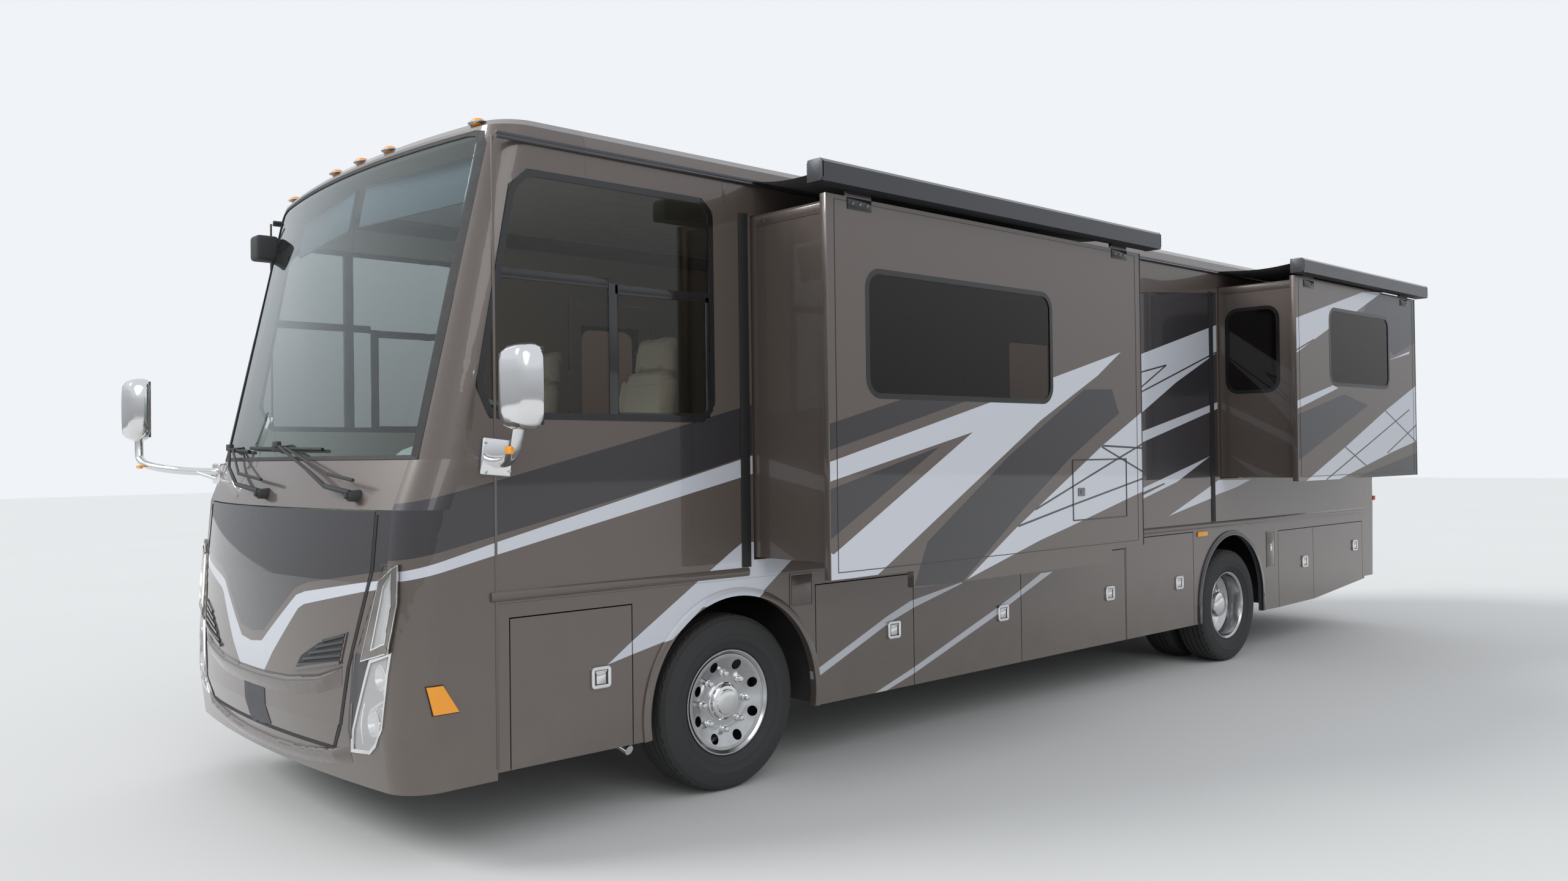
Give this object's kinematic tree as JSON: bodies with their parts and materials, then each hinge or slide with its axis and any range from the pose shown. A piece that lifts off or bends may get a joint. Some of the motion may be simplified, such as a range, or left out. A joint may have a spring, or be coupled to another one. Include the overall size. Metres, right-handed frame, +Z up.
{
  "type": "motorhome",
  "caption": "Full-size motorhome with flat front, side slide-out rooms extended, side-hinged bay doors, twin rear tyres and steered front wheels.",
  "frame": {"origin": "centre of the bounding box at floor level", "axes": "+X forwards, +Y to the driver's side, +Z up"},
  "size_m": [9.98, 3.904, 3.4104],
  "materials": {
    "body_paint": "satin",
    "dark_paint": "gloss",
    "glass": "polished",
    "lamp_glass": "clear",
    "amber_lens": "gloss",
    "red_lens": "gloss",
    "tyre_rubber": "matte",
    "polished_wheel": "polished",
    "chrome": "polished",
    "black_steel": "satin",
    "cast_iron": "rough",
    "black_plastic": "matte",
    "white_plastic": "matte",
    "seat_leather": "satin",
    "floor_vinyl": "matte"
  },
  "bodies": {
    "coach": {"front_cap": "body_paint", "left_wall": "body_paint", "right_wall": "body_paint", "left_skirt": "body_paint", "right_skirt": "body_paint", "rear_cap": "body_paint", "windshield": "glass", "side_windows": "glass", "headlamps": "lamp_glass", "marker_lamps": "amber_lens", "tail_lamps": "red_lens", "roof": "white_plastic", "roof_units": "white_plastic", "patio_awning": "dark_paint", "mirrors": "chrome", "wipers": "black_plastic", "dashboard": "floor_vinyl", "steering_wheel": "black_plastic", "seats": "seat_leather", "floor_deck": "floor_vinyl", "chassis_frame": "black_steel", "bay_trays": "black_plastic", "engine_block": "cast_iron", "entry_step": "black_plastic", "front_axle": "cast_iron", "rear_axle": "cast_iron"},
    "bay_left_1": {"bay_left_1": "body_paint"},
    "bay_left_2": {"bay_left_2": "body_paint"},
    "bay_left_3": {"bay_left_3": "body_paint"},
    "bay_left_4": {"bay_left_4": "body_paint"},
    "bay_left_5": {"bay_left_5": "body_paint"},
    "bay_left_6": {"bay_left_6": "body_paint"},
    "bay_left_7": {"bay_left_7": "body_paint"},
    "bay_right_1": {"bay_right_1": "body_paint"},
    "bay_right_2": {"bay_right_2": "body_paint"},
    "bay_right_3": {"bay_right_3": "body_paint"},
    "bay_right_4": {"bay_right_4": "body_paint"},
    "hood": {"front_hood": "body_paint"},
    "entry": {"entry_door": "body_paint", "entry_glass": "glass"},
    "slideout_front": {"slide_front": "body_paint", "slide_glass_front": "glass"},
    "slideout_rear": {"slide_rear": "body_paint", "slide_glass_rear": "glass"},
    "slideout_right": {"slide_right": "body_paint", "slide_glass_right": "glass"},
    "steer_left": {"knuckle_left": "cast_iron"},
    "steer_right": {"knuckle_right": "cast_iron"},
    "wheel_front_left": {"rim_front_left": "polished_wheel", "tyre_front_left": "tyre_rubber"},
    "wheel_front_right": {"rim_front_right": "polished_wheel", "tyre_front_right": "tyre_rubber"},
    "wheel_rear_left": {"rim_rear_left": "polished_wheel", "tyre_rear_left": "tyre_rubber"},
    "wheel_rear_right": {"rim_rear_right": "polished_wheel", "tyre_rear_right": "tyre_rubber"}
  },
  "joints": [
    {"name": "bay_left_1_hinge", "type": "hinge", "parent": "coach", "child": "bay_left_1", "pos_m": [4.25, 1.257, 0.66], "axis": [0, 0, -1], "range_deg": [0, 90]},
    {"name": "bay_left_2_hinge", "type": "hinge", "parent": "coach", "child": "bay_left_2", "pos_m": [2.45, 1.257, 0.66], "axis": [0, 0, -1], "range_deg": [0, 90]},
    {"name": "bay_left_3_hinge", "type": "hinge", "parent": "coach", "child": "bay_left_3", "pos_m": [1.675, 1.257, 0.66], "axis": [0, 0, -1], "range_deg": [0, 90]},
    {"name": "bay_left_4_hinge", "type": "hinge", "parent": "coach", "child": "bay_left_4", "pos_m": [0.657, 1.257, 0.66], "axis": [0, 0, -1], "range_deg": [0, 90]},
    {"name": "bay_left_5_hinge", "type": "hinge", "parent": "coach", "child": "bay_left_5", "pos_m": [-0.562, 1.257, 0.66], "axis": [0, 0, -1], "range_deg": [0, 90]},
    {"name": "bay_left_6_hinge", "type": "hinge", "parent": "coach", "child": "bay_left_6", "pos_m": [-2.896, 1.257, 0.66], "axis": [0, 0, -1], "range_deg": [0, 90]},
    {"name": "bay_left_7_hinge", "type": "hinge", "parent": "coach", "child": "bay_left_7", "pos_m": [-3.559, 1.257, 0.66], "axis": [0, 0, -1], "range_deg": [0, 90]},
    {"name": "bay_right_1_hinge", "type": "hinge", "parent": "coach", "child": "bay_right_1", "pos_m": [4.25, -1.257, 0.66], "axis": [0, 0, 1], "range_deg": [0, 90]},
    {"name": "bay_right_2_hinge", "type": "hinge", "parent": "coach", "child": "bay_right_2", "pos_m": [1.597, -1.257, 0.66], "axis": [0, 0, 1], "range_deg": [0, 90]},
    {"name": "bay_right_3_hinge", "type": "hinge", "parent": "coach", "child": "bay_right_3", "pos_m": [0.097, -1.257, 0.66], "axis": [0, 0, 1], "range_deg": [0, 90]},
    {"name": "bay_right_4_hinge", "type": "hinge", "parent": "coach", "child": "bay_right_4", "pos_m": [-2.896, -1.257, 0.66], "axis": [0, 0, 1], "range_deg": [0, 90]},
    {"name": "hood_hinge", "type": "hinge", "parent": "coach", "child": "hood", "pos_m": [4.8285, 0, 1.4445], "axis": [0, -1, 0], "range_deg": [0, 70]},
    {"name": "entry_hinge", "type": "hinge", "parent": "coach", "child": "entry", "pos_m": [2.354, -1.257, 1.5], "axis": [0, 0, 1], "range_deg": [0, 110]},
    {"name": "slide_front_travel", "type": "slide", "parent": "coach", "child": "slideout_front", "axis": [0, 1, 0], "range_m": [-0.51, 0]},
    {"name": "slide_rear_travel", "type": "slide", "parent": "coach", "child": "slideout_rear", "axis": [0, 1, 0], "range_m": [-0.57, 0]},
    {"name": "slide_right_travel", "type": "slide", "parent": "coach", "child": "slideout_right", "axis": [0, -1, 0], "range_m": [-0.57, 0]},
    {"name": "steer_left", "type": "hinge", "parent": "coach", "child": "steer_left", "pos_m": [3, 0.96, 0.433], "axis": [0, 0, 1], "range_deg": [-40, 40]},
    {"name": "steer_right", "type": "hinge", "parent": "coach", "child": "steer_right", "pos_m": [3, -0.96, 0.433], "axis": [0, 0, 1], "range_deg": [-40, 40]},
    {"name": "spin_front_left", "type": "hinge", "parent": "steer_left", "child": "wheel_front_left", "pos_m": [3, 1.089, 0.433], "axis": [0, 1, 0], "continuous": true},
    {"name": "spin_front_right", "type": "hinge", "parent": "steer_right", "child": "wheel_front_right", "pos_m": [3, -1.089, 0.433], "axis": [0, 1, 0], "continuous": true},
    {"name": "spin_rear_left", "type": "hinge", "parent": "coach", "child": "wheel_rear_left", "pos_m": [-2.09, 0.957, 0.433], "axis": [0, 1, 0], "continuous": true},
    {"name": "spin_rear_right", "type": "hinge", "parent": "coach", "child": "wheel_rear_right", "pos_m": [-2.09, -0.957, 0.433], "axis": [0, 1, 0], "continuous": true}
  ],
  "couplings": [
    {"joint": "steer_right", "follows": "steer_left", "ratio": 1}
  ]
}
